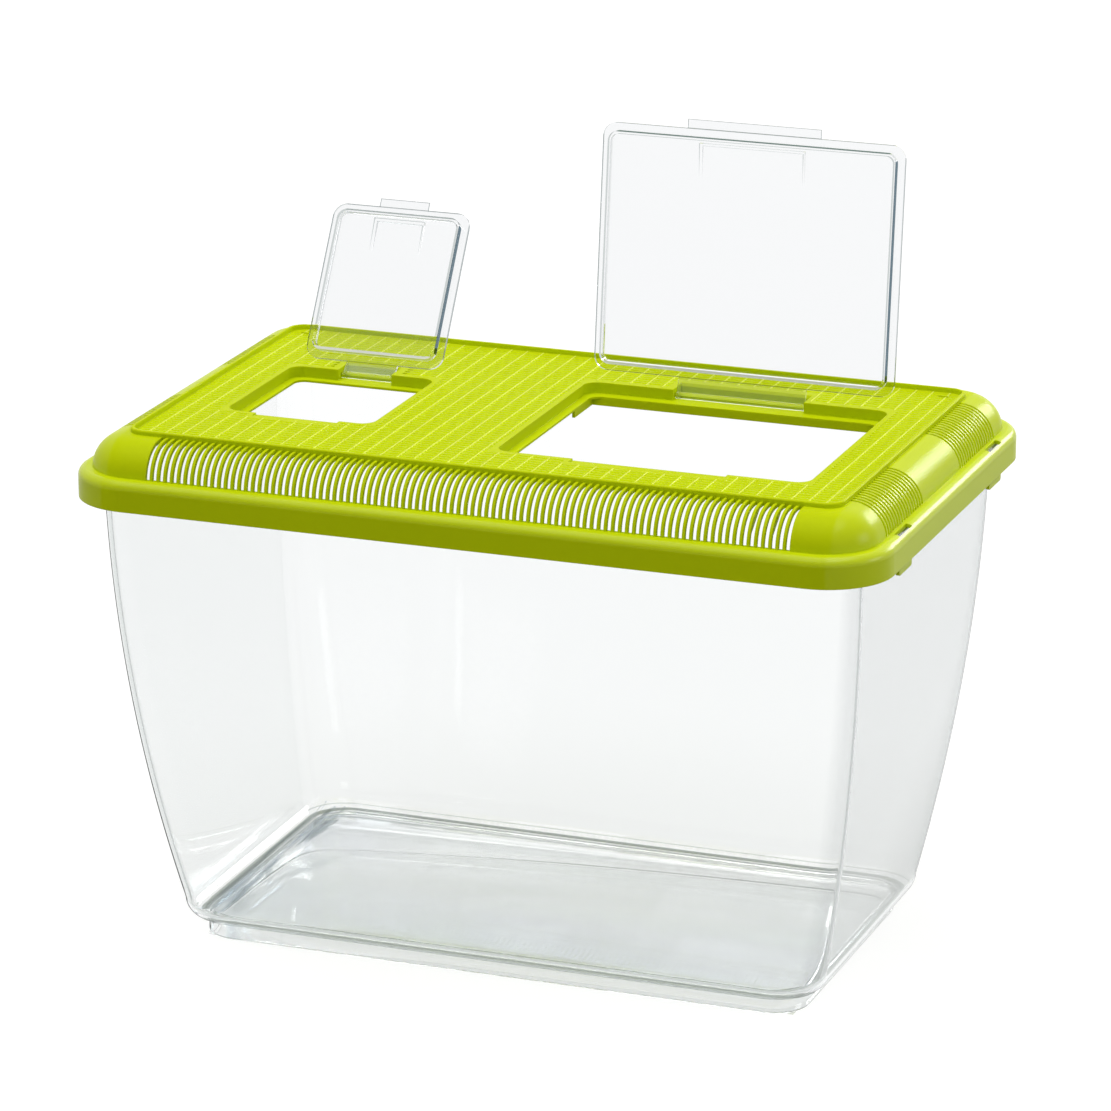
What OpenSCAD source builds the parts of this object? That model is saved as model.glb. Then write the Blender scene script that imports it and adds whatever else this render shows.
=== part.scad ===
// Plastic pet keeper: a clear tank, a vented lid that clips on and two clear hatches hinged on the lid.
// Frame: +X to the right, +Y to the back, +Z up, origin at the centre of the foot's underside.

/* [Lid shell] */
// Length of the lid over its skirt
lid_l = 460; // [440:1:480]
// Depth of the lid over its skirt, front to back
lid_w = 294.8; // [286:0.2:306]
// Corner radius of the skirt, seen from above
lid_r = 37.2; // [32:0.2:42]
// Wall thickness of the lid
lid_t = 2.2; // [1.8:0.1:2.4]
// Height of the skirt's lower edge above the table
skirt_z = 259.3; // [240:0.1:280]
// Height of the skirt, from its lower edge to the ledge
skirt_h = 16.7; // [15:0.1:20]
// Radius of the skirt's rounded upper edge
skirt_round = 5; // [3.5:0.1:6]
// Width of the ledge between the skirt's face and the foot of the dome
ledge_w = 7.8; // [6.5:0.1:9]
// Height of the dome, from the ledge to the top plate
dome_h = 17.9; // [16:0.1:19]
// Radius of the dome's quarter round
dome_r = 19.1; // [18:0.1:21]

/* [Lip] */
// Height of the raised lip above the top plate
lip_h = 2.6; // [1.5:0.1:5]
// Thickness of the lip
lip_t = 2.6; // [1.5:0.1:4]
// Distance from the skirt's end face to the lip
lip_in_x = 27.7; // [26:0.1:30]
// Distance from the skirt's long face to the lip
lip_in_y = 30.4; // [27:0.1:33]
// Corner radius of the lip
lip_r = 9.9; // [7:0.1:14]
// Bevel of the lip's upper edges
lip_bevel = 0.6; // [0.3:0.1:0.7]

/* [Vents and grille] */
// Distance between two vent slots of the dome
vent_pitch = 3.92; // [3.5:0.01:6]
// Width of a vent slot
vent_slot = 2.3; // [1.4:0.1:2.6]
// Length of the row of vent slots on each long side
vent_run = 364; // [280:1:370]
// Offset of those rows from the middle, to the right
vent_off = 1.2; // [0:0.1:3]
// Length of each of the two rows of vent slots on a short side
vent_run_side = 64; // [30:1:68]
// Distance of a short side's two rows from the middle, to their centres
vent_side_at = 66.2; // [50:0.1:68]
// Offset of the short sides' rows from the middle, to the front
vent_off_side = 1.1; // [0:0.1:3]
// Distance between two rows of the grille
grille_pitch = 3.92; // [3.5:0.01:8]
// Width of a grille slot
grille_slot = 1.8; // [1.4:0.1:2.2]
// Distance between two cross bars of the grille
bar_pitch = 28.8; // [20:0.2:40]
// Width of a cross bar
bar_w = 1.6; // [1.2:0.1:3]
// Plain border between the grille and any opening's frame
border = 3.2; // [3:0.1:7]
// Plain border between the grille and the lip
lip_border = 1.2; // [1:0.1:5]
// Distance from the lip's outer face to the two dashes on the plate's back corners
dash_in = 11.8; // [11:0.1:20]
// Length of a dash
dash_l = 5.5; // [3:0.1:8]
// Height of a dash
dash_h = 0.7; // [0.4:0.1:1.5]

/* [Hatch openings] */
// Depth of each opening's recess, from the top plate to the ledge that the hatch lies over
recess = 6.15; // [5.8:0.05:7.5]
// Thickness of that ledge
rest_t = 1.3; // [1:0.1:2]
// Width of the ledge at the sides and the front
rest_w = 5; // [3.5:0.1:7]
// Thickness of the recess's walls
frame_t = 2; // [1.5:0.1:3]
// Corner radius of the recesses
pocket_r = 8; // [5:0.5:12]
// Height of the stiffening rim under the large opening's back ledge
rim_drop = 3.8; // [2:0.1:6]
// Thickness of that rim
rim_t = 1.6; // [1.2:0.1:2.5]
// Bevel along the back edge of the hinge notches
notch_bevel = 1.5; // [0.8:0.1:2]

/* [Small opening] */
// Distance from the skirt's left end to the small recess
small_side = 59.2; // [55:0.1:63]
// Length of the small recess along X
small_l = 86.2; // [70:0.1:92]
// Distance from the skirt's front to the small recess
small_front_in = 92.8; // [86:0.1:99]
// Size of the small recess, front to back
small_d = 95.8; // [84:0.1:100]
// Width of the small recess's back ledge
small_back_rest = 5.5; // [4:0.1:7]
// Distance of the small hinge's axis behind the recess
small_axis_in = 5; // [4.6:0.1:6]
// Width of the small hinge notch
small_notch_w = 32; // [24:0.5:44]
// Distance from the small hinge's axis to the notch's back wall
small_notch_d = 9.6; // [8.5:0.1:12]
// Gap between the small hatch and its recess at each side
small_gap = 1.8; // [0.5:0.1:2]
// Width of the small latch seat
small_seat_w = 49; // [36:0.5:60]
// Depth of the small latch seat, front to back
small_seat_d = 5.8; // [5.5:0.1:8]
// Width of the small hatch's tongue
small_tongue_w = 29.5; // [20:0.5:34]

/* [Large opening] */
// Distance from the skirt's right end to the large recess
large_side = 57.95; // [55:0.05:62]
// Length of the large recess along X
large_l = 176.1; // [150:0.1:182]
// Distance from the skirt's front to the large recess
large_front_in = 70.2; // [63:0.1:77]
// Size of the large recess, front to back
large_d = 145; // [130:0.1:149]
// Width of the large recess's back ledge
large_back_rest = 7; // [5:0.1:9]
// Distance of the large hinge's axis behind the recess
large_axis_in = 3.7; // [3.2:0.1:5]
// Width of the large hinge notch
large_notch_w = 76; // [60:0.5:90]
// Distance from the large hinge's axis to the notch's back wall
large_notch_d = 10; // [8.5:0.1:12]
// Gap between the large hatch and its recess at each side
large_gap = 0.7; // [0.5:0.1:2]
// Width of the large latch seat
large_seat_w = 87; // [80:0.5:110]
// Depth of the large latch seat, front to back
large_seat_d = 7; // [5.5:0.1:9]
// Width of the large hatch's tongue
large_tongue_w = 77; // [50:0.5:79]

/* [Hatches] */
// Thickness of the hatches' skin
skin_t = 1.8; // [1.4:0.1:2.2]
// Corner radius of the hatches
flap_r = 8; // [5:0.5:12]
// Distance of the stiffening rib from the hatch's edge
rib_in = 4.2; // [3:0.1:6]
// Thickness of the rib
rib_t = 1.6; // [1.2:0.1:2.4]
// Length of the latch tongues
tongue_l = 5; // [4:0.1:5.2]
// Thickness of the latch tongues
tongue_t = 0.8; // [0.7:0.1:1.2]
// Depth of the hinge axes under the top plate
axis_drop = 3.9; // [3.7:0.05:4.2]
// Radius of the hinge barrels
barrel_r = 1.95; // [1.7:0.05:2.1]
// Radius of the hinge pins
pin_r = 1.2; // [1:0.05:1.5]
// Length of each hinge pin beyond the barrel
pin_l = 3.2; // [2.6:0.1:3.8]
// Radial clearance of the pins in their sockets
pin_play = 0.05; // [0.02:0.01:0.09]
// Distance from the small hinge's axis to the hatch's near edge
small_near = 8.6; // [8:0.1:10]
// Distance from the large hinge's axis to the hatch's near edge
large_near = 9.7; // [9:0.1:11]
// Lean of the open small hatch past upright
small_lean = 31.8; // [0:0.1:35]
// Lean of the open large hatch past upright
large_lean = 6.5; // [0:0.1:35]
// Distance from a hatch's latch edge to the wall of its thumb scoop
scoop_in = 8.9; // [8:0.1:12]
// Length of the scoops' ramp
scoop_l = 18; // [12:0.5:24]
// Depth of the scoops at their wall
scoop_d = 2.4; // [1:0.1:3]
// Width of the small hatch's scoop
small_scoop_w = 27.5; // [20:0.5:34]
// Width of the large hatch's scoop
large_scoop_w = 58; // [40:0.5:70]
// Clearance between parts that don't touch
gap = 0.3; // [0.2:0.05:0.5]

/* [Tank] */
// Distance from the lid's skirt in to the tank's walls just below it
tank_in = 15.2; // [14:0.1:22]
// How far the end walls draw in from the lid down to the base
draw_x = 27.8; // [15:0.1:32]
// How far the long walls draw in from the lid down to the base
draw_y = 26.5; // [15:0.1:32]
// Share of that draw that is bow, the rest being straight taper
wall_bow = 0.82; // [0:0.01:1]
// Corner radius of the tank below the lid
tank_r_top = 19; // [14:0.5:24]
// Corner radius of the tank at its base
tank_r_base = 27; // [22:0.5:32]
// Wall thickness of the tank
tank_t = 2.6; // [2:0.1:3.5]
// Thickness of the tank's floor
floor_t = 2.8; // [2:0.1:4]
// Thickness of the rim
rim_flange_t = 2.4; // [1.8:0.1:3]
// Height of the rim's turned-down edge
rim_skirt = 6.5; // [4:0.1:9]

/* [Foot] */
// How far the foot ring stands in from the end walls at the base
foot_in_x = 11.3; // [8:0.1:16]
// How far the foot ring stands in from the long walls at the base
foot_in_y = 11.2; // [8:0.1:16]
// Corner radius of the foot ring
foot_r = 20.8; // [16:0.2:26]
// Height of the foot ring
foot_h = 9; // [5:0.1:14]
// Thickness of the foot ring
foot_t = 2.6; // [2:0.1:4]
// Height over the foot at which the rounded base runs into the walls
base_h = 11.7; // [8:0.1:16]

/* [Snap hooks] */
// Distance of the hooks from the middle of the short sides
hook_at = 82.5; // [60:0.5:90]
// Width of a hook
hook_w = 22; // [16:0.5:26]
// How far a hook hangs below the skirt
hook_drop = 5.6; // [3:0.1:8]
// Thickness of a hook
hook_t = 2; // [1.5:0.1:2.2]
// Corner radius of a hook
hook_r = 1.5; // [0.5:0.1:3]
// Length of the mould slot over each hook
hook_slot_l = 21; // [16:0.5:24]
// Width of that slot
hook_slot_w = 3.6; // [2.5:0.1:4]

/* [Hidden] */
$fn = 96;
eps = 0.01;
ledge_z = skirt_z + skirt_h;
plate_z = ledge_z + dome_h;
lip_z = plate_z + lip_h;
plate_under = plate_z - lid_t;
rest_z = plate_z - recess;
small_x = small_side + (small_l - lid_l) / 2;
small_front = small_front_in - lid_w / 2;
large_x = (lid_l - large_l) / 2 - large_side;
large_front = large_front_in - lid_w / 2;
tank_hx = lid_l / 2 - tank_in;
tank_hy = lid_w / 2 - tank_in;
foot_l = 2 * (tank_hx - draw_x - foot_in_x);
foot_w = 2 * (tank_hy - draw_y - foot_in_y);
cx = lid_l / 2 - lid_r;
cy = lid_w / 2 - lid_r;
dome_c = plate_z - dome_r;
dome_foot = lid_r - ledge_w;
dome_in = dome_foot - sqrt(pow(dome_r, 2) - pow(ledge_z - dome_c, 2));
lip_hx = lid_l / 2 - lip_in_x;
lip_hy = lid_w / 2 - lip_in_y;
axis_z = plate_z - axis_drop;
small_back = small_front + small_d;
large_back = large_front + large_d;
small_axis = small_back + small_axis_in;
large_axis = large_back + large_axis_in;
seat_z = plate_z - tongue_t - gap;
socket_l = pin_l + gap;
notch_wall = socket_l + 1;
rib_low = rest_z + gap - axis_z;
small_turn = 90 + small_lean;
large_turn = 90 + large_lean;
rim_top = ledge_z - lid_t - gap;
knee_z = foot_h + base_h;
hook_face = lid_l / 2 - lid_t;

// Plan outlines

module plan(l, w, r) {
  square([l - 2 * r, w], center = true);
  square([l, w - 2 * r], center = true);
  for (sx = [-1, 1], sy = [-1, 1])
    translate([sx * (l / 2 - r), sy * (w / 2 - r)]) circle(r = r);
}

module slab(l, w, r, z0, z1) {
  translate([0, 0, z0]) linear_extrude(height = z1 - z0) plan(l, w, r);
}

// Lid shell: one profile, drawn along the four sides and turned round the four corners

module rounded_step(r_out, round_r, z0, z1) {
  translate([0, z0]) square([r_out, z1 - round_r - z0]);
  translate([0, z1 - round_r - eps]) square([r_out - round_r, round_r + eps]);
  translate([r_out - round_r, z1 - round_r]) intersection() {
    circle(r = round_r);
    translate([0, -eps]) square([round_r + 1, round_r + 1]);
  }
}

module quarter_dome(inner, r, z0) {
  intersection() {
    translate([inner, dome_c]) circle(r = r);
    translate([0, z0]) square([lid_r, plate_z]);
  }
  translate([0, z0]) square([inner, dome_c + r - z0]);
}

module ring_profile() {
  difference() {
    union() {
      rounded_step(lid_r, skirt_round, skirt_z, ledge_z);
      quarter_dome(dome_in, dome_r, ledge_z - 1);
    }
    translate([-1, skirt_z - 1]) square([lid_r - lid_t + 1, ledge_z - skirt_round - skirt_z + 1]);
    rounded_step(lid_r - lid_t, skirt_round - lid_t, skirt_z, ledge_z - lid_t);
    quarter_dome(dome_in, dome_r - lid_t, ledge_z - lid_t - 1);
  }
}

module shell_ring() {
  for (s = [0, 1]) mirror([s, 0, 0]) {
    translate([cx, cy, 0]) rotate([90, 0, 0]) linear_extrude(height = 2 * cy) ring_profile();
    for (t = [0, 1]) mirror([0, t, 0]) translate([cx, cy, 0]) rotate_extrude(angle = 90) ring_profile();
  }
  for (t = [0, 1]) mirror([0, t, 0])
    translate([-cx, cy, 0]) rotate([90, 0, 90]) linear_extrude(height = 2 * cx) ring_profile();
  translate([-cx, -cy, plate_under]) cube([2 * cx, 2 * cy, lid_t]);
}

module lip_body(inset, flare, z0, z1) {
  hull() {
    slab(2 * (lip_hx - inset), 2 * (lip_hy - inset), lip_r - inset, z0, lip_z - lip_bevel);
    slab(2 * (lip_hx - inset + flare), 2 * (lip_hy - inset + flare), lip_r - inset + flare, z1 - eps, z1);
  }
}

module lip() {
  difference() {
    lip_body(0, -lip_bevel, plate_under, lip_z);
    lip_body(lip_t, lip_bevel + eps, plate_under - 1, lip_z + eps);
  }
}

// Dome vents

module vent_row(run) {
  n = floor(run / vent_pitch / 2);
  for (i = [-n:n]) translate([i * vent_pitch - vent_slot / 2, 0, 0]) children();
}

module vents() {
  reach_y = lid_w / 2 - ledge_w - lip_hy;
  reach_x = lid_l / 2 - ledge_w - lip_hx;
  for (t = [0, 1]) mirror([0, t, 0]) translate([vent_off, 0, 0]) vent_row(vent_run)
    translate([0, lip_hy, ledge_z]) cube([vent_slot, reach_y + 1, dome_h + 1]);
  for (s = [0, 1]) mirror([s, 0, 0]) for (v = [-1, 1])
    translate([lip_hx, v * vent_side_at - vent_off_side, ledge_z]) rotate([0, 0, 90]) vent_row(vent_run_side)
      translate([0, -reach_x - 1, 0]) cube([vent_slot, reach_x + 1, dome_h + 1]);
}

// Grille: rows of slots between cross bars, kept clear of the openings, notches and seats

function keep(x, l, y0, y1) = [x - l / 2 - border, x + l / 2 + border, y0 - border, y1 + border];
keeps = [
  keep(small_x, small_l, small_front, small_back),
  keep(small_x, small_notch_w + 2 * (notch_wall - border), small_back, small_axis + small_notch_d + notch_bevel),
  keep(small_x, small_seat_w, small_front - small_seat_d, small_front),
  keep(large_x, large_l, large_front, large_back),
  keep(large_x, large_notch_w + 2 * (notch_wall - border), large_back, large_axis + large_notch_d + notch_bevel),
  keep(large_x, large_seat_w, large_front - large_seat_d, large_front)
];

function cut_one(seg, k) = k[0] >= seg[1] || k[1] <= seg[0] ? [seg] :
  [for (p = [[seg[0], k[0]], [k[1], seg[1]]]) if (p[1] - p[0] > border) p];
function cut_all(segs, y, i = 0) = i == len(keeps) ? segs :
  cut_all([for (s = segs) each (y + grille_slot / 2 > keeps[i][2] && y - grille_slot / 2 < keeps[i][3]) ?
    cut_one(s, keeps[i]) : [s]], y, i + 1);

module grille() {
  half_y = lip_hy - lip_t - lip_border;
  rows = floor((half_y - grille_slot / 2) / grille_pitch);
  bays = ceil(lip_hx / bar_pitch);
  for (j = [-rows:rows]) {
    y = j * grille_pitch;
    half_x = lip_hx - lip_t - lip_border - (abs(y) > lip_hy - lip_r ? lip_r / 2 : 0);
    for (i = [-bays:bays - 1]) {
      a = max(i * bar_pitch + bar_w / 2, -half_x);
      b = min((i + 1) * bar_pitch - bar_w / 2, half_x);
      for (s = cut_all(b - a > border ? [[a, b]] : [], y))
        translate([s[0], y - grille_slot / 2, plate_under - 1]) cube([s[1] - s[0], grille_slot, lid_t + 2]);
    }
  }
}

// Openings: recess, ledge, hinge notch and latch seat

module frame_body(x, l, front, d, axis, notch_w, notch_d, seat_w, seat_d) {
  z0 = rest_z - rest_t;
  translate([x, front + d / 2, 0]) slab(l + 2 * frame_t, d + 2 * frame_t, pocket_r + frame_t, z0, plate_z - eps);
  nw = notch_w + 2 * notch_wall;
  translate([x - nw / 2, front + d - frame_t, z0])
    cube([nw, axis + notch_d + notch_bevel + frame_t - front - d + frame_t, plate_z - eps - z0]);
  translate([x - seat_w / 2 - frame_t, front - seat_d - frame_t, seat_z - rest_t])
    cube([seat_w + 2 * frame_t, seat_d + 2 * frame_t, plate_z - eps - seat_z + rest_t]);
}

module frame_cut(x, l, front, d, back_rest, axis, notch_w, notch_d, seat_w, seat_d) {
  translate([x, front + d / 2, 0]) slab(l, d, pocket_r, rest_z, plate_z + 1);
  in_d = d - rest_w - back_rest;
  translate([x, front + rest_w + in_d / 2, 0])
    slab(l - 2 * rest_w, in_d, pocket_r - 2, rest_z - rest_t - 1, plate_z + 1);
  wall_y = axis + notch_d;
  start_y = front + d - pocket_r;
  translate([x - notch_w / 2, 0, 0]) rotate([90, 0, 90]) linear_extrude(height = notch_w)
    polygon([[start_y, rest_z], [wall_y, rest_z], [wall_y, plate_z - notch_bevel],
      [wall_y + notch_bevel + 1, plate_z + 1], [start_y, plate_z + 1]]);
  translate([x - seat_w / 2, front - seat_d, seat_z]) cube([seat_w, seat_d + 1, plate_z - seat_z + 1]);
  socket = notch_w / 2 + socket_l;
  translate([x - socket, axis, axis_z]) rotate([0, 90, 0]) cylinder(r = pin_r + pin_play, h = 2 * socket);
}

module large_rim() {
  y = large_back - large_back_rest;
  l = large_l - 2 * rest_w;
  difference() {
    translate([large_x - l / 2 - rim_t, y - 28, rest_z - rest_t - rim_drop])
      cube([l + 2 * rim_t, 28 + rim_t, rim_drop + eps]);
    translate([large_x - l / 2, y - 29, rest_z - rest_t - rim_drop - 1]) cube([l, 29, rim_drop + 2]);
  }
}

// Snap hooks under the skirt's short sides

module hook() {
  top = ledge_z - skirt_round;
  low = skirt_z - hook_drop;
  translate([hook_face - hook_t + eps, 0, 0]) rotate([90, 0, 90]) linear_extrude(height = hook_t) {
    translate([-hook_w / 2, low + hook_r]) square([hook_w, top - low - hook_r]);
    translate([hook_r - hook_w / 2, low]) square([hook_w - 2 * hook_r, hook_r + eps]);
    for (s = [-1, 1]) translate([s * (hook_w / 2 - hook_r), low + hook_r]) circle(r = hook_r);
  }
}

module hook_slot() {
  translate([hook_face - hook_slot_w, -hook_slot_l / 2, ledge_z - lid_t - 1]) cube([hook_slot_w, hook_slot_l, lid_t + 2]);
}

// A dash on the plate, with a solid patch under it that ties it to the bars on both sides

module dash() {
  y = floor((lip_hy - dash_in + grille_slot / 2) / grille_pitch) * grille_pitch;
  translate([lip_hx - dash_in - dash_l / 2 - 1, y - grille_pitch / 2, plate_under + 0.1])
    cube([dash_l + 2, grille_pitch, lid_t - 0.2]);
  translate([lip_hx - dash_in - dash_l / 2, y - grille_slot / 4, plate_under + 0.5]) cube([dash_l, grille_slot / 2, lid_t + dash_h - 0.5]);
}

module lid() color("yellowgreen") {
  for (s = [0, 1]) mirror([s, 0, 0]) dash();
  difference() {
    union() {
      shell_ring();
      lip();
      frame_body(small_x, small_l, small_front, small_d, small_axis, small_notch_w, small_notch_d, small_seat_w, small_seat_d);
      frame_body(large_x, large_l, large_front, large_d, large_axis, large_notch_w, large_notch_d, large_seat_w, large_seat_d);
      large_rim();
      for (s = [0, 1], v = [-1, 1]) mirror([s, 0, 0]) translate([0, v * hook_at, 0]) hook();
    }
    frame_cut(small_x, small_l, small_front, small_d, small_back_rest, small_axis, small_notch_w, small_notch_d, small_seat_w, small_seat_d);
    frame_cut(large_x, large_l, large_front, large_d, large_back_rest, large_axis, large_notch_w, large_notch_d, large_seat_w, large_seat_d);
    for (s = [0, 1], v = [-1, 1]) mirror([s, 0, 0]) translate([0, v * hook_at, 0]) hook_slot();
    vents();
    grille();
  }
}

// Hatches: drawn closed about the hinge axis, reaching to -Y, then turned open

module scoop(w, wall, z, over) {
  y = -wall * skin_t;
  lift = over * scoop_d;
  translate([-w / 2 - wall * skin_t, 0, z]) rotate([90, 0, 90]) linear_extrude(height = w + 2 * wall * skin_t)
    polygon(concat([[y, lift], [y, -scoop_d]], wall > 0 ? [[0, -scoop_d]] : [], [[(1 + over) * scoop_l, lift]]));
}

module hatch(l, reach, near, notch_w, tongue_w, scoop_w) {
  top = axis_drop;
  low = axis_drop - skin_t;
  leaf_w = notch_w - 2 * gap - 1;
  depth = reach - near;
  mid = -near - depth / 2;
  difference() {
    union() {
      translate([0, mid, 0]) slab(l, depth, flap_r, low, top);
      translate([0, scoop_in - reach, 0]) scoop(scoop_w, 0.8, low, 0.25);
    }
    translate([0, scoop_in - reach, 0]) scoop(scoop_w, 0, top, 1);
  }
  translate([-tongue_w / 2, -reach - tongue_l, top - tongue_t]) cube([tongue_w, tongue_l + flap_r, tongue_t]);
  difference() {
    translate([0, mid, 0]) slab(l - 2 * rib_in, depth - 2 * rib_in, flap_r - rib_in / 2, rib_low, low + eps);
    translate([0, mid, 0])
      slab(l - 2 * rib_in - 2 * rib_t, depth - 2 * rib_in - 2 * rib_t, flap_r - rib_in / 2 - rib_t, rib_low - 1, low + eps);
  }
  ang = atan2(top - skin_t / 2, near);
  nx = sin(ang) * skin_t / 2;
  nz = cos(ang) * skin_t / 2;
  translate([-leaf_w / 2, 0, 0]) rotate([90, 0, 90]) linear_extrude(height = leaf_w)
    polygon([[nx, nz], [-near, top], [-near - rib_in / 2, top], [-near - rib_in / 2, low], [-near, low], [-nx, -nz]]);
  rotate([0, 90, 0]) cylinder(r = barrel_r, h = leaf_w, center = true);
  rotate([0, 90, 0]) cylinder(r = pin_r, h = notch_w + 2 * pin_l, center = true);
}

module small_hatch() color([0.85, 0.92, 0.95, 0.5]) {
  translate([small_x, small_axis, axis_z]) rotate([-small_turn, 0, 0])
    hatch(small_l - 2 * small_gap, small_axis - small_front - gap, small_near, small_notch_w, small_tongue_w, small_scoop_w);
}

module large_hatch() color([0.85, 0.92, 0.95, 0.5]) {
  translate([large_x, large_axis, axis_z]) rotate([-large_turn, 0, 0])
    hatch(large_l - 2 * large_gap, large_axis - large_front - gap, large_near, large_notch_w, large_tongue_w, large_scoop_w);
}

// Tank: a loft of rounded outlines, up the outside, over the rim and down the inside

steps = 10;
function arc(x, y, r, a) = [for (i = [0:steps]) [x + r * cos(a + i * 90 / steps), y + r * sin(a + i * 90 / steps)]];
function outline(hx, hy, r, z) = [for (p = concat(arc(hx - r, hy - r, r, 0), arc(r - hx, hy - r, r, 90),
  arc(r - hx, r - hy, r, 180), arc(hx - r, r - hy, r, 270))) [p[0], p[1], z]];

function drop(z) = max(0, (skirt_z - z) / (skirt_z - knee_z));
function draw(z) = (1 - wall_bow) * drop(z) + wall_bow * pow(drop(z), 2);
function wall_r(z) = tank_r_top + (tank_r_base - tank_r_top) * min(1, drop(z));
function wall(z, t) = outline(tank_hx - draw_x * draw(z) - t, tank_hy - draw_y * draw(z) - t, wall_r(z) - t, z);

seam = 0.4;
function base(a, t, lift) = let(k = sin(a), hx0 = foot_l / 2 + seam, hy0 = foot_w / 2 + seam, r0 = foot_r + seam)
  outline(hx0 + (tank_hx - draw_x - hx0) * k - t, hy0 + (tank_hy - draw_y - hy0) * k - t,
    r0 + (tank_r_base - r0) * k - t, foot_h + lift + (base_h - lift) * (1 - cos(a)));

rim_x = hook_face - hook_t - gap;
rim_y = lid_w / 2 - lid_t - hook_t - gap;
rim_r = lid_r - lid_t - hook_t - gap;
rings = concat(
  [for (i = [0:5]) base(i * 15, 0, 0)],
  [for (i = [0:9]) wall(knee_z + (skirt_z - knee_z) * i / 9, 0)],
  [wall(rim_top - rim_flange_t, 0),
   outline(rim_x - rim_flange_t, rim_y - rim_flange_t, rim_r - rim_flange_t, rim_top - rim_flange_t),
   outline(rim_x - rim_flange_t, rim_y - rim_flange_t, rim_r - rim_flange_t, rim_top - rim_skirt),
   outline(rim_x, rim_y, rim_r, rim_top - rim_skirt),
   outline(rim_x, rim_y, rim_r, rim_top - 0.8),
   outline(rim_x - 0.8, rim_y - 0.8, rim_r - 0.8, rim_top),
   wall(rim_top, tank_t)],
  [for (i = [9:-1:0]) wall(knee_z + (skirt_z - knee_z) * i / 9, tank_t)],
  [for (i = [5:-1:0]) base(i * 15, tank_t, floor_t)]
);

module loft(rows) {
  n = len(rows[0]);
  m = len(rows);
  polyhedron(
    points = [for (r = rows) each r],
    faces = concat(
      [[for (i = [0:n - 1]) i]],
      [for (k = [0:m - 2], i = [0:n - 1]) each let(a = k * n + i, b = k * n + (i + 1) % n) [[a, a + n, b], [b, a + n, b + n]]],
      [[for (i = [n - 1:-1:0]) (m - 1) * n + i]]),
    convexity = 6);
}

module tank() color([0.85, 0.92, 0.95, 0.35]) {
  loft(rings);
  difference() {
    slab(foot_l, foot_w, foot_r, 0, foot_h + floor_t / 2);
    slab(foot_l - 2 * foot_t, foot_w - 2 * foot_t, foot_r - foot_t, -1, foot_h + floor_t);
  }
}

tank();
lid();
small_hatch();
large_hatch();
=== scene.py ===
import math

import bmesh
import bpy
import numpy as np
from mathutils import Matrix


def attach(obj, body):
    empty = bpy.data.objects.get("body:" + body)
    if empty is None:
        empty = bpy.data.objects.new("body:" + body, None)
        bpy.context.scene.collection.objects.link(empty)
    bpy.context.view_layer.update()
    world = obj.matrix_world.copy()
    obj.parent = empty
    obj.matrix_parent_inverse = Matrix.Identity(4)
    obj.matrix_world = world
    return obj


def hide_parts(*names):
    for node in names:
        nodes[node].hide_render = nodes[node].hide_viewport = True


# Clear pet keeper with a lime lid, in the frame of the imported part. The scene is in metres. The sizes of
# the part, and the places in its looks, are written in millimetres.
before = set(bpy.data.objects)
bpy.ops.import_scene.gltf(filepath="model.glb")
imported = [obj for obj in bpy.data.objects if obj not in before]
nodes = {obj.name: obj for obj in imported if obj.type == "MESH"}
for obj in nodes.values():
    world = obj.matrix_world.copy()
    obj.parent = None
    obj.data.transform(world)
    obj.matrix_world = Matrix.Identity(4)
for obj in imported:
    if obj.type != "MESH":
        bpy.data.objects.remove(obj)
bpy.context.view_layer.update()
print("frame loaded:", sorted(nodes))


# Shader helpers: a Value wraps a socket, so that sums on values add Math nodes.

class Value:
    def __init__(self, recipe, socket):
        self.recipe, self.socket = recipe, socket

    def combine(self, other, operation, swap=False):
        pair = (other, self) if swap else (self, other)
        return self.recipe.value("Math", {"operation": operation}, {0: pair[0], 1: pair[1]})

    def __add__(self, other):
        return self.combine(other, "ADD")

    def __sub__(self, other):
        return self.combine(other, "SUBTRACT")

    def __rsub__(self, other):
        return self.combine(other, "SUBTRACT", True)

    def __mul__(self, other):
        return self.combine(other, "MULTIPLY")

    def __truediv__(self, other):
        return self.combine(other, "DIVIDE")

    def clipped(self):
        return self.recipe.value("Clamp", {}, {"Value": self, "Min": 0.0, "Max": 1.0})

    def plain(self):  # without its sign
        return self.recipe.value("Math", {"operation": "ABSOLUTE"}, {0: self})

    def above(self, limit):
        return self.combine(limit, "GREATER_THAN")

    def near(self, middle, reach):  # 1 within reach of middle, else 0
        return self.recipe.value("Math", {"operation": "COMPARE"}, {0: self, 1: middle, 2: reach})

    def between(self, low, high):
        return self.near((low + high) / 2, (high - low) / 2)


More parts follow.
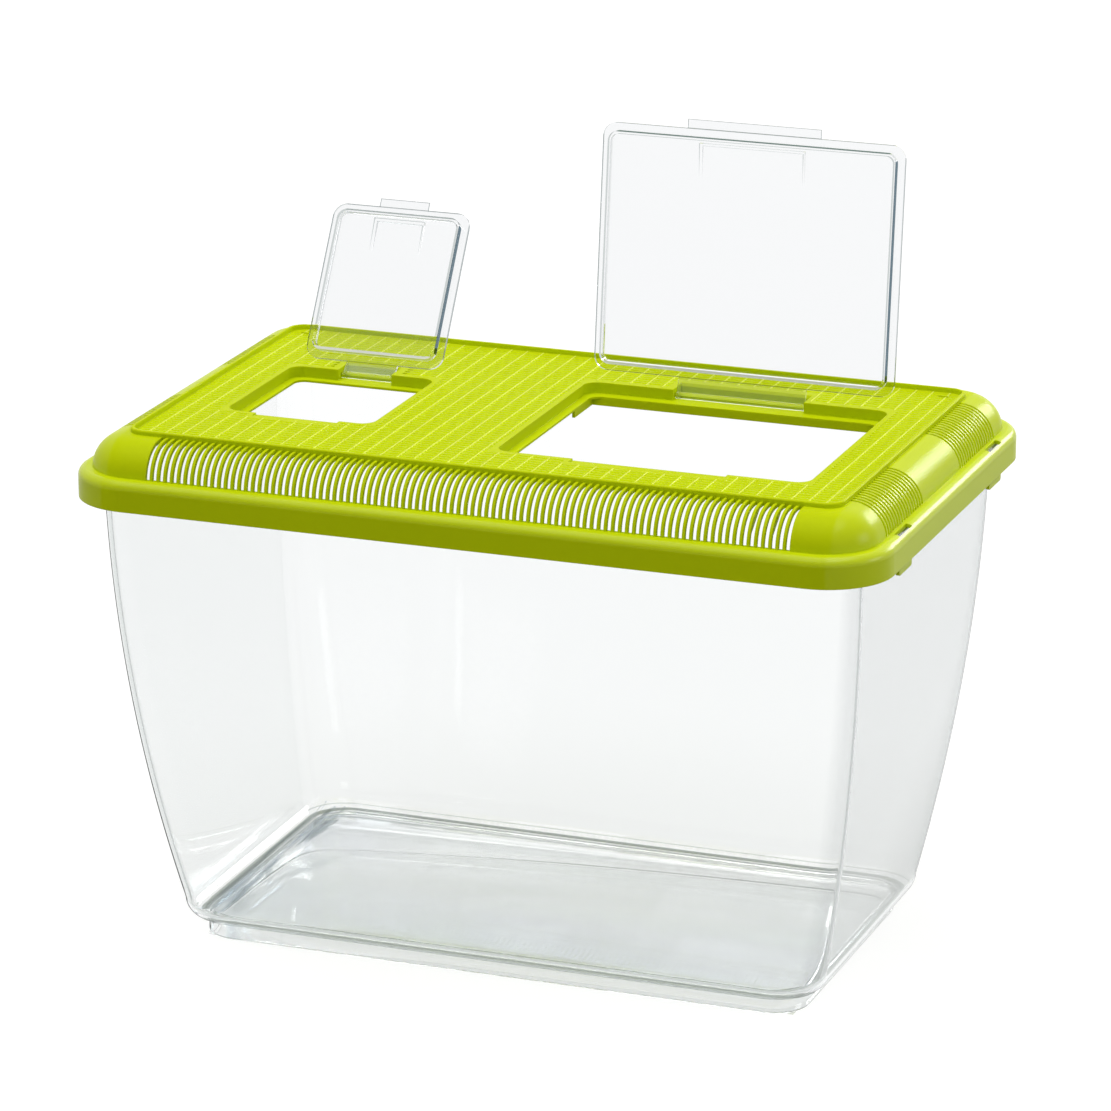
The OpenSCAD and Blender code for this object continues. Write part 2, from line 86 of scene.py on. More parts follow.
class Recipe:
    def __init__(self, name, tree=None):
        if tree is None:
            self.material = bpy.data.materials.new(name)
            self.material.use_nodes = True
            tree = self.material.node_tree
        self.tree = tree
        self.tree.nodes.clear()

    def node(self, kind, settings=None, inputs=None):
        made = self.tree.nodes.new("ShaderNode" + kind)
        for key, setting in (settings or {}).items():
            setattr(made, key, setting)
        for key, given in (inputs or {}).items():
            if isinstance(given, Value):
                self.tree.links.new(given.socket, made.inputs[key])
            else:
                made.inputs[key].default_value = given
        return made

    def value(self, kind, settings=None, inputs=None, out=0):
        return Value(self, self.node(kind, settings, inputs).outputs[out])

    def place(self):  # on the part, in metres
        return self.value("TexCoord", out=3)

    def split(self, vector):
        parts = self.node("SeparateXYZ", {}, {"Vector": vector})
        return [Value(self, parts.outputs[axisName]) for axisName in "XYZ"]

    def millimetres(self, vector):
        return [part * 1000.0 for part in self.split(vector)]

    def facing(self):  # parts of the direction that the surface faces
        return self.split(self.value("NewGeometry", out=1))

    def moved(self, vector, scale, **more):
        return self.value("Mapping", {}, {"Vector": vector, "Scale": scale, **more})

    def noise(self, vector, scale, detail=1.0):
        return self.value("TexNoise", {}, {"Vector": vector, "Scale": scale, "Detail": detail})

    def tinted(self, colour):  # plainly see-through
        return self.value("BsdfTransparent", {}, {"Color": colour})

    def over(self, mask, below, above):
        return self.value("MixShader", {}, {0: mask, 1: below, 2: above})

    def finish(self, shader, kind="OutputMaterial"):
        self.node(kind, {}, {"Surface": shader})


# Lime plastic

limeLook = {
    # crest: a lighter lime for the grille bars, a painted highlight
    "colour": (0.565, 0.672, 0.003, 1), "deeper": (0.535, 0.638, 0.002, 1), "crest": (0.80, 0.89, 0.10, 1),
    "cloud": 9.0, "cloudShare": 0.8, "roughness": 0.33, "roughnessSpread": 0.08, "gloss": 0.02,
    "grain": 1500.0, "grainDepth": 0.00003, "grainStrength": 0.25, "edgeRadius": 0.0007,
    "soak": 0.30, "soakDepth": 0.003, "soakColours": (1.0, 1.0, 0.15),
    "endGloss": 0.28, "endFrom": 203.0, "endFade": 0.5,  # the lid's ends are glossier
    "roundGloss": 0.28, "roundAt": (273.6, 2.35),  # so is the skirt's rounded edge: height, half width
    "coatRoughness": 0.25,
    # Painted light: a glow painted into the slots of the plate (top, thickness, half length, half depth)
    # and into the vents of the ends (from x on, height, half height, half run, share), standing in for
    # light that soaks through the thin bars.
    "paintedSlotGlow": (0.205, 0.245, 0.004, 1), "plate": (293.9, 2.2, 201.0, 116.0), "slotGap": 0.03,
    "vents": (203.0, 285.2, 8.6, 110.0, 0.3), "slotLean": 0.5, "ventLean": 0.97,
}

# Openings, notches and seats of the lid, which get no painted glow: x from, x to, y from, y to.
openings = [
    (-174.0, -81.4, -57.8, 44.4), (-150.8, -104.6, 44.4, 63.0), (-155.4, -100.0, -63.6, -54.0),
    (-7.3, 175.3, -80.4, 71.0), (43.2, 124.8, 71.0, 87.0), (37.3, 130.7, -87.4, -77.0),
]


# Where the slots and vents get their painted glow: the walls of a slot don't face up, and those of a vent
# face along Y.
def paintedGlowMask(recipe, place):
    look = limeLook
    across, along, up = recipe.millimetres(place)
    facing = recipe.facing()
    top, thick, halfX, halfY = look["plate"]
    slots = up.near(top - thick / 2 - look["slotGap"], thick / 2) * across.near(0.0, halfX)
    slots = slots * along.near(0.0, halfY) * (1.0 - facing[2].above(look["slotLean"]))
    for left, right, front, back in openings:
        slots = slots * (1.0 - across.between(left, right) * along.between(front, back))
    start, height, halfHeight, halfRun, share = look["vents"]
    vents = facing[1].plain().above(look["ventLean"]) * across.plain().above(start)
    return slots + vents * up.near(height, halfHeight) * along.near(0.0, halfRun) * share


def limePlastic(name, colour, deeper):
    look = limeLook
    recipe = Recipe(name)
    place = recipe.place()
    across, along, up = recipe.millimetres(place)
    gloss = ((across.plain() - look["endFrom"]) * look["endFade"]).clipped() * look["endGloss"]
    gloss = (gloss + up.near(*look["roundAt"]) * look["roundGloss"]).clipped()
    # Painted light: the slots and vents glow with an emission, though they are no lamp.
    glow = recipe.value("Mix", {"data_type": "RGBA"},
                        {0: paintedGlowMask(recipe, place), 6: (0, 0, 0, 1), 7: look["paintedSlotGlow"]}, out=2)
    cloud = recipe.noise(place, look["cloud"], 2.0)
    mixed = recipe.value("Mix", {"data_type": "RGBA"},
                         {0: cloud * look["cloudShare"], 6: colour, 7: deeper}, out=2)
    bump = recipe.value("Bump", {}, {
        "Strength": look["grainStrength"], "Distance": look["grainDepth"],
        "Height": recipe.noise(place, look["grain"]),
        "Normal": recipe.value("Bevel", {"samples": 6}, {"Radius": look["edgeRadius"]}),
    })
    recipe.finish(recipe.value("BsdfPrincipled", {}, {
        "Base Color": mixed, "Roughness": cloud * look["roughnessSpread"] + look["roughness"], "IOR": 1.5,
        "Normal": bump, "Specular IOR Level": look["gloss"], "Subsurface Weight": look["soak"],
        "Subsurface Radius": look["soakColours"], "Subsurface Scale": look["soakDepth"],
        "Coat Weight": gloss, "Coat Roughness": look["coatRoughness"],
        "Emission Color": glow, "Emission Strength": 1.0,
    }))
    return recipe.material


# Clear plastic

clearLook = {
    "tankTint": (0.942, 0.948, 0.949, 1), "tankIor": 1.49,
    "hatchTint": (0.85, 0.858, 0.866, 1), "hatchIor": 1.33,  # little shifts seen through the hatches
    "lampTint": (0.965, 0.972, 0.975, 1),  # of light that falls through
    "waveScale": (14.0, 14.0, 4.0), "waveDepth": 0.0001, "waveStrength": 0.5,
    "scuffs": 60.0, "scuffed": (0.55, 0.08, 0.004),  # noise from which they show, their roughness, the rest's
    # Painted shade: walls seen at a flat angle get a dark tint laid over the glass, fully so where a
    # corner turns away. What faces up or down by more than "level" stays out.
    "paintedEdgeShade": (0.12, 0.14, 0.14, 1), "rimFrom": 0.785, "rimGain": 13.0,
    "cornerGain": 12.0, "rimOnFlats": 0.2, "level": 0.85,
    "trapped": 2.5,  # reflections inside the plastic after which light leaves it
}


# Glass for what is seen, plainly see-through for the light that falls through it. The touches, painted
# shade, reflections and highlights among them, are shaders laid over the glass, each as far as its mask goes.
def clearPlastic(name, tint, ior, touches):
    look = clearLook
    recipe = Recipe(name)
    place = recipe.place()
    waves = recipe.noise(recipe.moved(place, look["waveScale"]), 1.0, 1.5)
    scuffFrom, scuffRoughness, roughness = look["scuffed"]
    scuffs = (recipe.noise(place, look["scuffs"], 3.0) - scuffFrom).clipped() * scuffRoughness
    glass = recipe.value("BsdfPrincipled", {}, {
        "Base Color": tint, "Roughness": scuffs + roughness, "IOR": ior, "Transmission Weight": 1.0,
        "Normal": recipe.value("Bump", {}, {
            "Strength": look["waveStrength"], "Distance": look["waveDepth"], "Height": waves,
        }),
    })
    flat = recipe.value("LayerWeight", {}, {"Blend": 0.5}, out=1)
    faceX, faceY, faceZ = recipe.facing()
    corner = faceX * faceY
    corner = (corner * corner * look["cornerGain"] + look["rimOnFlats"]).clipped()
    upright = 1.0 - faceZ.plain().above(look["level"])
    # Painted shade: a dark tint where the walls are seen at a flat angle.
    rim = ((flat - look["rimFrom"]) * look["rimGain"]).clipped() * upright * corner
    glass = recipe.over(rim, glass, recipe.tinted(look["paintedEdgeShade"]))
    for mask, touch in touches(recipe, place):
        glass = recipe.over(mask, glass, touch)
    path = recipe.node("LightPath")
    trapped = Value(recipe, path.outputs["Glossy Depth"]).above(look["trapped"])
    lamp = Value(recipe, path.outputs["Is Shadow Ray"]) + Value(recipe, path.outputs["Is Diffuse Ray"])
    recipe.finish(recipe.over((lamp + trapped).clipped(), glass, recipe.tinted(look["lampTint"])))
    return recipe.material


tankLook = {
    # Painted shade: the right wall gets a dark tint laid over it: from x on, from z on, from what sideways
    # turn (squared), how fast, how much.
    "rightWallShade": (0.20, 0.23, 0.24, 1), "rightWallShading": (120.0, 21.0, 0.35, 2.5, 0.085),
    # The floor's strained plastic has faint colours in patches drawn along the length: tint, scale of the
    # pattern.
    "stains": [((0.90, 0.84, 0.90, 1), 9.0), ((0.82, 0.90, 0.95, 1), 7.0), ((0.92, 0.93, 0.88, 1), 11.0)],
    "stainAt": (11.8, 0.4), "stainDraw": (0.35, 1.0, 1.0), "stainShift": 3.1, "stainEdge": (0.45, 4.0),
    "stainShare": 0.26,
    # Painted shade: its left end gets a grey tint laid over it: from x, over how far, how much.
    "floorEndShade": (0.72, 0.80, 0.82, 1), "floorEndShading": (-95.0, 60.0, 0.10),
    # Painted reflections: upright dark stripes at the foot's left end, over a faint tint on all the foot.
    "streakReflectionTint": (0.50, 0.56, 0.60, 1), "footTop": 8.7, "footShare": 0.01,
    "stripesTo": -125.0, "stripeShare": 0.40,
    "stripes": 55.0, "stripeDraw": (1.0, 1.0, 0.05), "stripeEdge": (0.52, 6.0),
    # Painted reflections: dark stripes along the base's left edge: x, half width, z, half height, half
    # length.
    "edgeAt": (-171.5, 6.5, 11.5, 2.7, 96.0), "edgeShare": 0.75,
    "bands": 330.0, "bandDraw": (1.0, 0.05, 0.3), "bandTurn": (0, 0, 0.03), "bandEdge": (0.47, 7.0),
    # Moulded edges of the base and the foot: height, half width, strength. The far one is the foot's
    # lower edge seen through the floor: at the back from y on, and at the left up to x, from y on.
    "lineTint": (0.30, 0.34, 0.31, 1), "farLine": (0.5, 0.5, 0.8), "farSides": (85.0, -166.0, -70.0),
    "lines": [(9.62, 0.45, 0.8), (12.2, 0.3, 0.4), (0.3, 0.3, 0.2), (8.3, 0.35, 0.35)],
}


# Patches of noise with soft edges: 0 up to a level of it, then rising with a gain.
def patches(recipe, vector, scale, edge):
    level, gain = edge
    return ((recipe.noise(vector, scale) - level) * gain).clipped()


def tankTouches(recipe, place):
    look = tankLook
    across, along, up = recipe.millimetres(place)
    made = []

    # Painted shade on the right wall.
    begins, base, turned, gain, share = look["rightWallShading"]
    sideways = recipe.facing()[0]
    wall = ((sideways * sideways - turned) * gain).clipped() * across.above(begins) * up.above(base) * share
    made.append((wall, recipe.tinted(look["rightWallShade"])))

    floor = up.near(*look["stainAt"])
    for order, (tint, scale) in enumerate(look["stains"]):
        drawn = recipe.moved(place, look["stainDraw"], Location=(order * look["stainShift"], 0, 0))
        patch = patches(recipe, drawn, scale, look["stainEdge"])
        made.append((patch * floor * look["stainShare"], recipe.tinted(tint)))
    # Painted shade at the floor's left end.
    begins, spread, share = look["floorEndShading"]
    made.append((((begins - across) / spread).clipped() * floor * share, recipe.tinted(look["floorEndShade"])))

    # Painted reflections: dark stripes on the foot.
    stripes = patches(recipe, recipe.moved(place, look["stripeDraw"]), look["stripes"], look["stripeEdge"])
    stripes = stripes * (1.0 - across.above(look["stripesTo"])) * look["stripeShare"] + look["footShare"]
    made.append(((1.0 - up.above(look["footTop"])) * stripes, recipe.tinted(look["streakReflectionTint"])))

    # Painted reflections: dark stripes along the base's left edge.
    drawn = recipe.moved(place, look["bandDraw"], Rotation=look["bandTurn"])
    bands = patches(recipe, drawn, look["bands"], look["bandEdge"])
    middle, half, height, halfHeight, halfRun = look["edgeAt"]
    strip = across.near(middle, half) * up.near(height, halfHeight) * along.near(0.0, halfRun)
    made.append((strip * bands * look["edgeShare"], recipe.tinted(look["streakReflectionTint"])))

    height, half, share = look["farLine"]
    back, left, front = look["farSides"]
    far = (along.above(back) + (1.0 - across.above(left)) * along.above(front)).clipped()
    made.append((up.near(height, half) * far * share, recipe.tinted(look["lineTint"])))
    for height, half, share in look["lines"]:
        made.append((up.near(height, half) * share, recipe.tinted(look["lineTint"])))
    return made


lime = limePlastic("lime", limeLook["colour"], limeLook["deeper"])
# The grille bars' lighter lime is a painted highlight.
paintedHighlightLime = limePlastic("paintedHighlightLime", limeLook["crest"], limeLook["crest"])
clearTank = clearPlastic("clearTank", clearLook["tankTint"], clearLook["tankIor"], tankTouches)
print("materials made")


# Mesh helpers

# A grid of rows by columns, closed along the columns: each face joins two neighbours of one row with the
# next row's.
def tubeFaces(rowCount, columnCount):
    row, column = np.meshgrid(np.arange(rowCount - 1), np.arange(columnCount), indexing="ij")
    after = (column + 1) % columnCount
    return np.stack([row * columnCount + column, row * columnCount + after,
                     (row + 1) * columnCount + after, (row + 1) * columnCount + column], -1).reshape(-1, 4)


def addPiece(name, points, faces, material, body, sharp):
    mesh = bpy.data.meshes.new(name)
    mesh.from_pydata(np.asarray(points, float).tolist(), [], [list(map(int, face)) for face in faces])
    mesh.materials.append(material)
    mesh.shade_smooth()
    mesh.set_sharp_from_angle(angle=math.radians(sharp))
    mesh.update()
    piece = bpy.data.objects.new(name, mesh)
    bpy.context.scene.collection.objects.link(piece)
    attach(piece, body)
    return piece


# Tank

tankSize = {
    "below": (214.8, 132.2), "draw": (27.8, 26.5), "bow": 0.82, "radius": (19.0, 27.0),
    "wall": 2.6, "floor": 2.8, "skirtAt": 259.3,
    "foot": (175.7, 94.5), "footRadius": 20.8, "footHeight": 9.0, "footWall": 2.6,
    "base": 11.7, "seam": 0.4, "rim": (225.5, 142.9), "rimRadius": 32.7, "rimTop": 273.5, "rimThick": 2.4,
    "rimEdge": 6.5, "arcSteps": 18, "wallRows": 30, "baseRows": 16, "sharp": 32.0,
    # Small roundings in steps of inset and height: down the foot ring's inside, up its outside, from the
    # wall into the rim, up and over the rim's outer edge, and down its inner edge.
    "ringInside": [(1.2, 9.0), (0.6, 8.85), (0.1, 8.3), (0, 7.6), (0, 0.5), (-0.15, 0.15), (-0.5, 0)],
    "ringOutside": [(0.5, 0), (0.15, 0.15), (0, 0.5), (0, 8.6), (0, 9.0)],
    "underRim": [(0, -1.2), (-0.35, -0.35), (-1.2, 0)], "rimLower": [(0.3, 0), (0, 0.3)],
    "rimUpper": [(0, -0.8), (0.25, -0.25), (0.8, 0)], "rimInner": [(-0.6, 0), (-0.18, -0.18), (0, -0.6)],
}


# Rounded rectangles stacked in rows: each corner's centre is the half sizes less the radius, and its arc
# adds the radius turned through a quarter.
def roundedRows(table, arcSteps):
    halfX, halfY, radius, height = np.asarray(table, float).T[:, :, None]
    turn = (np.arange(4)[:, None] + np.linspace(0, 1, arcSteps + 1)[None, :]).ravel()[None, :] * math.pi / 2
    signX = np.repeat([1, -1, -1, 1], arcSteps + 1)[None, :]
    signY = np.repeat([1, 1, -1, -1], arcSteps + 1)[None, :]
    across = signX * (halfX - radius) + radius * np.cos(turn)
    along = signY * (halfY - radius) + radius * np.sin(turn)
    return np.stack([across, along, np.broadcast_to(height, across.shape)], -1)


# The tank as one closed profile carried round: under the floor, round the foot ring, up the bowed
# outside, over the rim, down the inside and across the floor.
def tankTable(size):
    knee = size["footHeight"] + size["base"]
    (topX, topY), (drawX, drawY) = size["below"], size["draw"]
    (footX, footY), footRadius = size["foot"], size["footRadius"]
    topRadius, baseRadius = size["radius"]

    # The wall draws in by a straight share plus a share that grows with the square of the depth below the
    # skirt.
    def wallRow(height, inset):
        depth = max(0.0, (size["skirtAt"] - height) / (size["skirtAt"] - knee))
        pull = (1 - size["bow"]) * depth + size["bow"] * depth ** 2
        radius = topRadius + (baseRadius - topRadius) * min(1.0, depth)
        return (topX - drawX * pull - inset, topY - drawY * pull - inset, radius - inset, height)

    # The base is a quarter of an ellipse from the foot's outline out to the wall.
    def baseRow(angle, inset, lift):
        share, rise = math.sin(angle), 1 - math.cos(angle)
        startX, startY, startRadius = footX + size["seam"], footY + size["seam"], footRadius + size["seam"]
        return (startX + (topX - drawX - startX) * share - inset,
                startY + (topY - drawY - startY) * share - inset,
                startRadius + (baseRadius - startRadius) * share - inset,
                size["footHeight"] + lift + (size["base"] - lift) * rise)

    def footRow(inset, height):
        return (footX - inset, footY - inset, footRadius - inset, height)

    def rimRow(inset, height):
        return (size["rim"][0] - inset, size["rim"][1] - inset, size["rimRadius"] - inset, height)

    angles = np.linspace(0, math.pi / 2, size["baseRows"])[:-1]
    heights = np.linspace(knee, size["skirtAt"], size["wallRows"])
    wall, floor, top, thick = size["wall"], size["floor"], size["rimTop"], size["rimThick"]
    under, edge = top - thick, top - size["rimEdge"]
    return ([footRow(size["footWall"] + inset, height) for inset, height in size["ringInside"]]
            + [footRow(inset, height) for inset, height in size["ringOutside"]]
            + [baseRow(angle, 0, 0) for angle in angles] + [wallRow(height, 0) for height in heights]
            + [wallRow(under + step, inset) for inset, step in size["underRim"]]
            + [rimRow(thick, under), rimRow(thick, edge)]
            + [rimRow(inset, edge + step) for inset, step in size["rimLower"]]
            + [rimRow(inset, top + step) for inset, step in size["rimUpper"]]
            + [wallRow(top + step, wall + inset) for inset, step in size["rimInner"]]
            + [wallRow(height, wall) for height in heights[::-1]]
            + [baseRow(angle, wall, floor) for angle in angles[::-1]])


tankRows = roundedRows(tankTable(tankSize), tankSize["arcSteps"])
rowCount, columnCount = tankRows.shape[:2]
tankFaces = [list(face) for face in tubeFaces(rowCount, columnCount)]
tankFaces.append(list(range(columnCount))[::-1])
tankFaces.append(list(range((rowCount - 1) * columnCount, rowCount * columnCount)))
tankShell = addPiece("tankShell", tankRows.reshape(-1, 3) / 1000, tankFaces, clearTank, "tank",
                     tankSize["sharp"])
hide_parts("tank")
print("tank made:", len(tankFaces), "faces")


# The lid keeps its CAD shape.

nodes["lid"].data.materials.clear()
nodes["lid"].data.materials.append(lime)
print("lid dressed")


# Hatches: the CAD shapes with their edges rounded, and their ribs picked out with painted shade and a
# painted highlight, as they are seen in clear plastic.

hatchSize = {
    "edge": 0.28, "edgeSegments": 2, "edgeAngle": 32.0,
    "weld": 1e-6,  # in metres: points this near are one
    "ribIn": 4.2, "ribThick": 1.6, "tongue": 5.0, "skinUnder": 2.0,
    # Node, hinge axis, degrees open, length, reach from the axis, near edge, tongue's half, strength of
    # its top line of painted shade.
    "hatches": [
        ("small_hatch", (-127.7, 46.2, 290.0), 121.8, 82.6, 100.5, 8.6, 14.75, 0.35),
        ("large_hatch", (84.0, 71.5, 290.0), 96.5, 174.7, 148.4, 9.7, 38.5, 0.95),
    ],
    # Painted shade on the right and top rib walls, and pale: a painted highlight on the bottom rib.
    "rightRibShade": (0.13, 0.19, 0.23, 1), "rightShare": 0.95, "topRibShade": (0.16, 0.22, 0.20, 1),
    "pale": (0.93, 0.93, 0.99, 1), "bottomHighlightShare": 0.85, "outline": (0.34, 0.38, 0.38, 1), "outlineShare": 0.65,
    "line": 0.3, "thinLine": 0.2,  # half widths
}


# Each rib wall is a plane in the hatch's own frame: the place less the axis, turned back by the opening
# angle.
def ribTouches(axis, opened, length, reach, near, tongueHalf, topShare):
    size = hatchSize
    ribIn, ribHalf, tongue = size["ribIn"], size["ribThick"] / 2, size["tongue"]
    line, thin = size["line"], size["thinLine"]
    turn = math.radians(opened)
    x, y, z = np.array(axis) / 1000
    shift = (-x, -(y * math.cos(turn) - z * math.sin(turn)), -(y * math.sin(turn) + z * math.cos(turn)))

    def touches(recipe, place):
        own = recipe.moved(place, (1.0, 1.0, 1.0), Rotation=(turn, 0, 0), Location=shift)
        across, out, up = recipe.millimetres(own)
        below = 1.0 - up.above(size["skinUnder"])
        side = across.plain()
        outline = side.near(length / 2, thin) + out.near(-reach, thin) + out.near(-near, thin)
        outline = outline + out.near(-reach - tongue, thin)
        outline = outline + side.near(tongueHalf, thin) * out.near(-reach - tongue / 2, tongue / 2)
        # Painted shade on the top and right rib walls, a painted highlight on the bottom rib.
        top = out.near(-reach + ribIn, line) * below
        right = across.near(length / 2 - ribIn, line) * below
        bottom = out.near(-near - ribIn - ribHalf, ribHalf + line) * below
        return [(outline.clipped() * size["outlineShare"], recipe.tinted(size["outline"])),
                (top * topShare, recipe.tinted(size["topRibShade"])),
                (right * size["rightShare"], recipe.tinted(size["rightRibShade"])),
                (bottom * size["bottomHighlightShare"], recipe.value("BsdfDiffuse", {}, {"Color": size["pale"]}))]
    return touches


def hatchShell(nodeName, *measures):
    mesh = nodes[nodeName].data.copy()
    merged = bmesh.new()
    merged.from_mesh(mesh)
    bmesh.ops.remove_doubles(merged, verts=merged.verts, dist=hatchSize["weld"])
    merged.to_mesh(mesh)
    merged.free()
    if "custom_normal" in mesh.attributes:
        mesh.attributes.remove(mesh.attributes["custom_normal"])
    mesh.shade_flat()
    mesh.materials.clear()
    mesh.materials.append(clearPlastic(nodeName + "Clear", clearLook["hatchTint"], clearLook["hatchIor"],
                                       ribTouches(*measures)))
    shell = bpy.data.objects.new(nodeName + "Shell", mesh)
    bpy.context.scene.collection.objects.link(shell)
    rounding = shell.modifiers.new("edges", "BEVEL")
    rounding.width, rounding.segments = hatchSize["edge"] / 1000, hatchSize["edgeSegments"]
    rounding.limit_method, rounding.angle_limit = "ANGLE", math.radians(hatchSize["edgeAngle"])
    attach(shell, nodeName)
    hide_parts(nodeName)


for row in hatchSize["hatches"]:
    hatchShell(*row)
print("hatches made")


# Grille bars: thin ribs from front to back across the rows of slots, with a rounded crest, in a lighter lime
# that is a painted highlight.

barSize = {
    "pitch": 9.6, "last": 20, "width": 0.85, "crest": 0.28, "plate": 293.9, "under": 291.9, "sunk": 0.02,
    "reach": 114.0, "shortest": 1.0, "arcPoints": 7, "sharp": 50.0,
}


# Each bar is a section carried along Y: straight sides and a crest that is half an ellipse. It stops at
# the openings.
def grilleBars(size):
    turn = np.linspace(0, math.pi, size["arcPoints"])
    half, shoulder, under = size["width"] / 2, size["plate"] - size["sunk"], size["under"]
    sectionX = np.concatenate([half * np.cos(turn), [-half, half]])
    sectionZ = np.concatenate([shoulder + size["crest"] * np.sin(turn), [under, under]])
    count = len(sectionX)
    around = np.arange(count)
    after = (around + 1) % count
    points, faces = [], []
    for step in range(-size["last"], size["last"] + 1):
        x = step * size["pitch"]
        spans = [(-size["reach"], size["reach"])]
        for left, right, front, back in openings:
            if left < x < right:
                cut = [((low, min(high, front)), (max(low, back), high)) for low, high in spans]
                spans = [part for pair in cut for part in pair if part[1] - part[0] > size["shortest"]]
        for low, high in spans:
            first = len(points) * count
            for y in (low, high):
                points.append(np.stack([sectionX + x, np.full(count, y), sectionZ], -1))
            faces += (np.stack([around, around + count, after + count, after], -1) + first).tolist()
            faces += [(around + first).tolist(), (around + first + count).tolist()[::-1]]
    return np.concatenate(points) / 1000, faces


barPoints, barFaces = grilleBars(barSize)
addPiece("grilleBars", barPoints, barFaces, paintedHighlightLime, "lid", barSize["sharp"])
print("grille bars made")


# Light: a plain pale world, a wide soft sun overhead, and two lamps at the right for the sheen. Sizes in
# metres.

lightPlan = {
    "worldLevel": 0.262, "floorHalf": 9.0, "floorUnder": 0.0002,
    "floorColour": (0.31, 0.31, 0.31, 1), "floorGlow": 0.745,
    "floorSheen": 0.5, "sheenHalf": (0.172, 0.091), "sheenRoughness": 0.02,  # gloss inside the foot ring
    # How much darker clear edges get with each inner reflection, and how light trapped rays end.
    "edgeStep": 0.24, "trappedLevel": 0.6, "edgeTint": (0.93, 0.98, 0.96, 1),
    "sun": {"strength": 2.26, "angle": 66.0, "from": (-0.10, -0.12, 1.0)},
    "lamps": [  # name, place, aimed at, size, watts
        ("behindRight", (1.85, 5.60, 2.15), (0, 0, 0.25), (2.4, 1.3), 104.0),
        ("right", (3.6, 0.9, 1.3), (0, 0, 0.2), (1.6, 1.2), 24.0),
    ],
}
white = (1, 1, 1, 1)


# Seen: rays that end in the picture by way of the camera, gloss or clear plastic. Turned: rays that leave
# clear plastic after a reflection inside it, as those at its edges do, which see the darker sides of the
# studio.
def raysSeen(recipe, plan):
    path = recipe.node("LightPath")
    through = Value(recipe, path.outputs["Is Transmission Ray"])
    seen = Value(recipe, path.outputs["Is Camera Ray"]) + Value(recipe, path.outputs["Is Glossy Ray"])
    depth = Value(recipe, path.outputs["Glossy Depth"])
    trapped = depth.above(clearLook["trapped"]) * plan["trappedLevel"]
    level = ((1.0 - depth * plan["edgeStep"]).clipped() + trapped).clipped()
    return (seen + through).clipped(), through * depth.clipped(), level


# Stage: a white floor that takes the shadow
def stageFloor(plan):
    half = plan["floorHalf"]
    corners = [(-half, -half, 0), (half, -half, 0), (half, half, 0), (-half, half, 0)]
    mesh = bpy.data.meshes.new("floor")
    mesh.from_pydata(corners, [], [(0, 1, 2, 3)])
    recipe = Recipe("floorWhite")
    seen, turned, turnedLevel = raysSeen(recipe, plan)
    matt = recipe.value("BsdfDiffuse", {}, {"Color": plan["floorColour"]})
    glow = recipe.value("Emission", {}, {"Color": white, "Strength": plan["floorGlow"]})
    dim = recipe.value("Emission", {}, {"Color": plan["edgeTint"], "Strength": turnedLevel})
    mirror = recipe.value("BsdfAnisotropic", {}, {"Color": white, "Roughness": plan["sheenRoughness"]})
    shown = recipe.over(seen, matt, recipe.value("AddShader", {}, {0: matt, 1: glow}))
    across, along, up = recipe.split(recipe.place())
    halfX, halfY = plan["sheenHalf"]
    under = across.near(0.0, halfX) * along.near(0.0, halfY) * plan["floorSheen"]
    recipe.finish(recipe.over(under, recipe.over(turned, shown, dim), mirror))
    mesh.materials.append(recipe.material)
    floor = bpy.data.objects.new("floor", mesh)
    floor.location.z = -plan["floorUnder"]
    bpy.context.scene.collection.objects.link(floor)


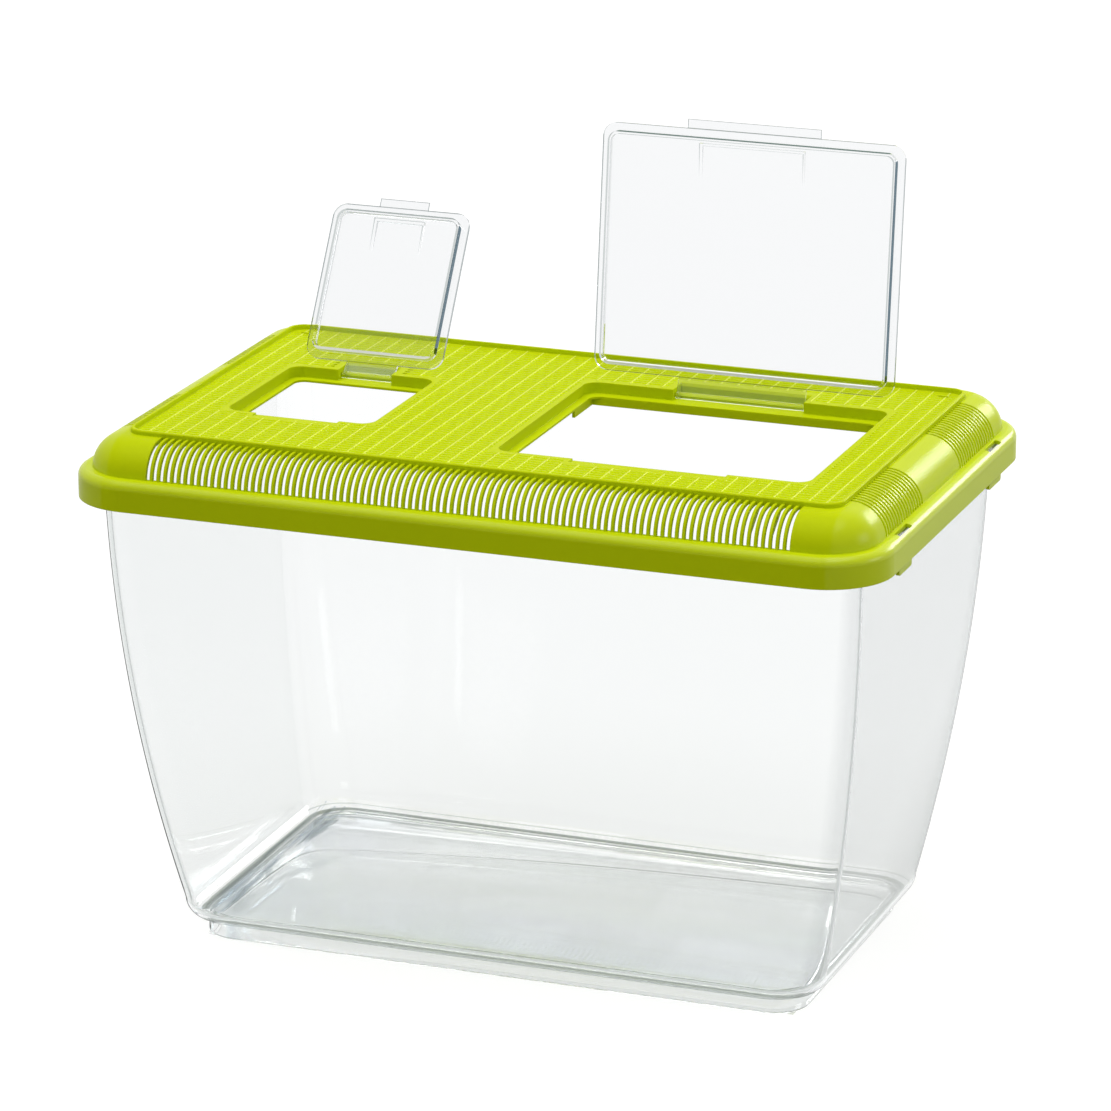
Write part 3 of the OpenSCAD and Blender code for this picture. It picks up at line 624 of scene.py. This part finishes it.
def setWorld(plan):
    world = bpy.data.worlds.new("studio")
    bpy.context.scene.world = world
    world.use_nodes = True
    recipe = Recipe("studio", world.node_tree)
    seen, turned, turnedLevel = raysSeen(recipe, plan)
    pale = recipe.value("Background", {}, {"Color": white, "Strength": plan["worldLevel"]})
    bright = recipe.value("Background", {}, {"Color": white, "Strength": 1.0})
    dim = recipe.value("Background", {}, {"Color": plan["edgeTint"], "Strength": turnedLevel})
    recipe.finish(recipe.over(turned, recipe.over(seen, pale, bright), dim), "OutputWorld")


# The axes of a lamp that looks at its target: its back points away from it.
def aimed(place, target):
    away = np.array(place, float) - target
    back = away / np.linalg.norm(away)
    right = np.cross((0, 0, 1.0), back)
    right = right / np.linalg.norm(right)
    return Matrix(np.stack([right, np.cross(back, right), back], -1).tolist()).to_4x4()


def addSun(plan):
    light = bpy.data.lights.new("overhead", "SUN")
    light.energy, light.angle = plan["strength"], math.radians(plan["angle"])
    lamp = bpy.data.objects.new("overhead", light)
    lamp.matrix_world = aimed(plan["from"], (0, 0, 0))
    bpy.context.scene.collection.objects.link(lamp)


def addLamp(name, place, target, size, watts):
    light = bpy.data.lights.new(name, "AREA")
    light.shape, light.size, light.size_y, light.energy = "RECTANGLE", size[0], size[1], watts
    lamp = bpy.data.objects.new(name, light)
    lamp.matrix_world = Matrix.Translation(place) @ aimed(place, target)
    bpy.context.scene.collection.objects.link(lamp)


stageFloor(lightPlan)
setWorld(lightPlan)
addSun(lightPlan["sun"])
for lampPlan in lightPlan["lamps"]:
    addLamp(*lampPlan)
bpy.context.scene.view_settings.view_transform = "Standard"
print("light set")


# Camera, as solved from the photograph

cameraPlan = {
    "place": (1.05690, -2.81207, 1.15807), "lens": 185.56, "sensor": 36.0, "sees": 60.0,
    "right": (0.9364, 0.3510, -0.0009), "up": (-0.1046, 0.2814, 0.9539), "back": (0.3351, -0.8931, 0.3002),
}


def addCamera(plan):
    lens = bpy.data.cameras.new("camera")
    lens.lens, lens.sensor_width, lens.clip_end = plan["lens"], plan["sensor"], plan["sees"]
    axes = Matrix([plan["right"], plan["up"], plan["back"]]).transposed()
    camera = bpy.data.objects.new("camera", lens)
    camera.matrix_world = Matrix.Translation(plan["place"]) @ axes.to_4x4()
    bpy.context.scene.collection.objects.link(camera)
    bpy.context.scene.camera = camera


addCamera(cameraPlan)
print("camera set")
